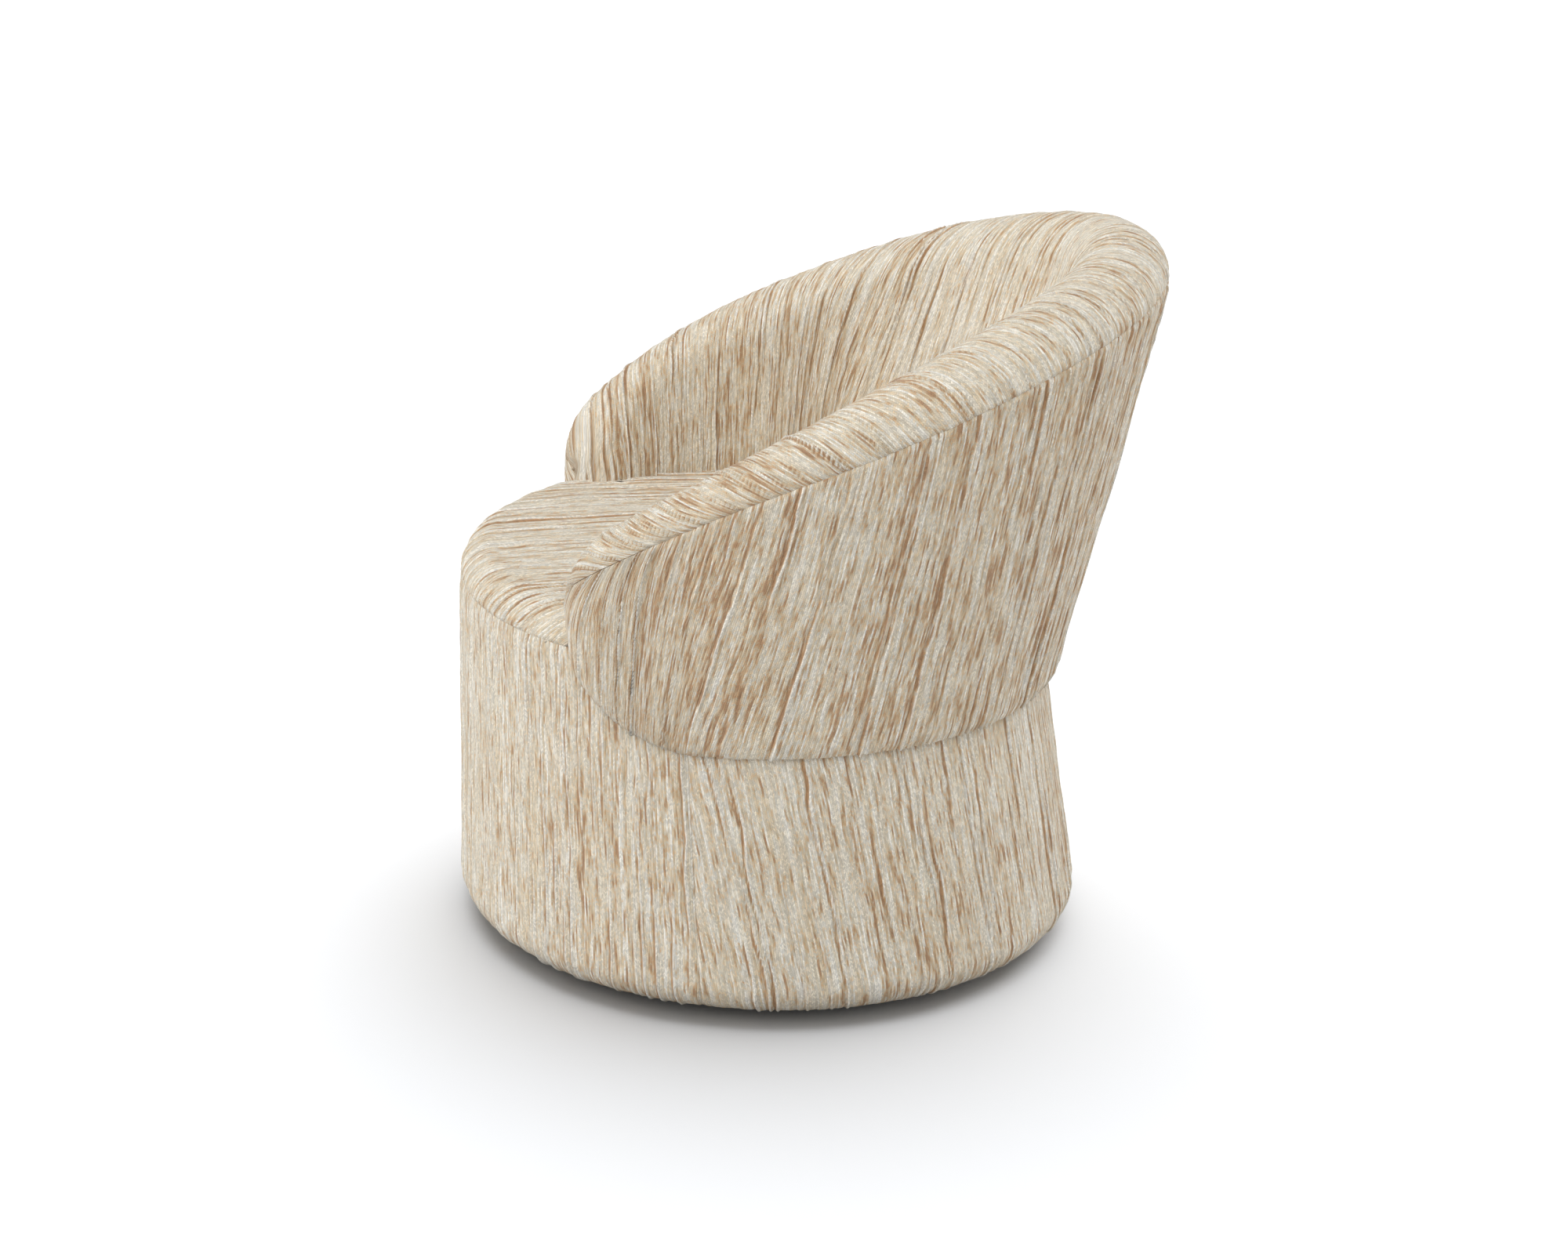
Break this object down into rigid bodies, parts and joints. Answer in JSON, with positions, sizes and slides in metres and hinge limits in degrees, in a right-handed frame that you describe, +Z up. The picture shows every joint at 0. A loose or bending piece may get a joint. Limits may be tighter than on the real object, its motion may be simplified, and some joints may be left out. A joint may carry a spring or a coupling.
{
  "type": "swivel accent chair",
  "caption": "Round upholstered swivel accent chair: a padded drum and seat with a low wrap-round back that slopes down into the arms, turning on a ball plate.",
  "frame": {"origin": "on the swivel axis, at the underside of the base felt, where the chair meets the floor", "axes": "+Z up along the swivel axis; the chair faces -Y; +X is to the sitter's left, across the chair"},
  "size_m": [0.6543, 0.7166, 0.748],
  "materials": {
    "felt": "dense black needle felt, matt",
    "plinth_black": "plywood stained black, satin",
    "plate_steel": "zinc plated pressed steel",
    "ball_steel": "polished bearing steel",
    "cage_plastic": "natural moulded plastic",
    "bush_plastic": "black moulded plastic",
    "zinc": "zinc plated steel",
    "plywood": "birch plywood, raw",
    "beech": "planed beech, raw",
    "hardboard": "pressed fibre board",
    "dust_cloth": "thin black spun cloth",
    "wadding": "white polyester wadding",
    "foam": "open cell upholstery foam",
    "webbing": "woven elastic webbing",
    "cloth": "striated slub chenille, cream with tan and brown streaks, matt"
  },
  "bodies": {
    "base": {"base_felt": "felt", "plinth_disc": "plinth_black", "swivel_lower_plate": "plate_steel", "lower_plate_screws": "zinc", "king_pin": "plate_steel"},
    "bearing": {"bearing_balls": "ball_steel", "ball_cage": "cage_plastic"},
    "chair": {"swivel_upper_plate": "plate_steel", "king_pin_bush": "bush_plastic", "upper_plate_bolts": "zinc", "upper_plate_tee_nuts": "zinc", "drum_bottom_ring": "plywood", "bottom_ring_screws": "zinc", "drum_base_board": "plywood", "base_dust_cover": "dust_cloth", "drum_uprights": "beech", "upright_screws": "zinc", "drum_wall": "hardboard", "drum_wadding": "wadding", "drum_back_cover": "cloth", "drum_front_cover": "cloth", "seat_ring": "plywood", "webbing_fore_aft": "webbing", "webbing_cross": "webbing", "seat_foam": "foam", "seat_cover": "cloth", "bottom_rail": "beech", "shell_ribs": "beech", "rib_screws": "zinc", "top_rail": "beech", "shell_bolts": "zinc", "shell_tee_nuts": "zinc", "inner_panel": "hardboard", "outer_panel": "hardboard", "inner_foam": "foam", "outer_wadding": "wadding", "rim_foam": "foam", "waist_pad": "foam", "arm_end_foam_left": "foam", "arm_end_foam_right": "foam", "outer_back_cover": "cloth", "inner_back_cover": "cloth", "arm_cover_left": "cloth", "arm_cover_right": "cloth"}
  },
  "joints": [
    {"name": "seat_swivel", "type": "hinge", "parent": "base", "child": "chair", "pos_m": [0, 0, 0], "axis": [0, 0, 1], "continuous": true},
    {"name": "bearing_roll", "type": "hinge", "parent": "base", "child": "bearing", "pos_m": [0, 0, 0], "axis": [0, 0, 1], "continuous": true}
  ],
  "couplings": [
    {"joint": "bearing_roll", "follows": "seat_swivel", "ratio": 0.5}
  ]
}
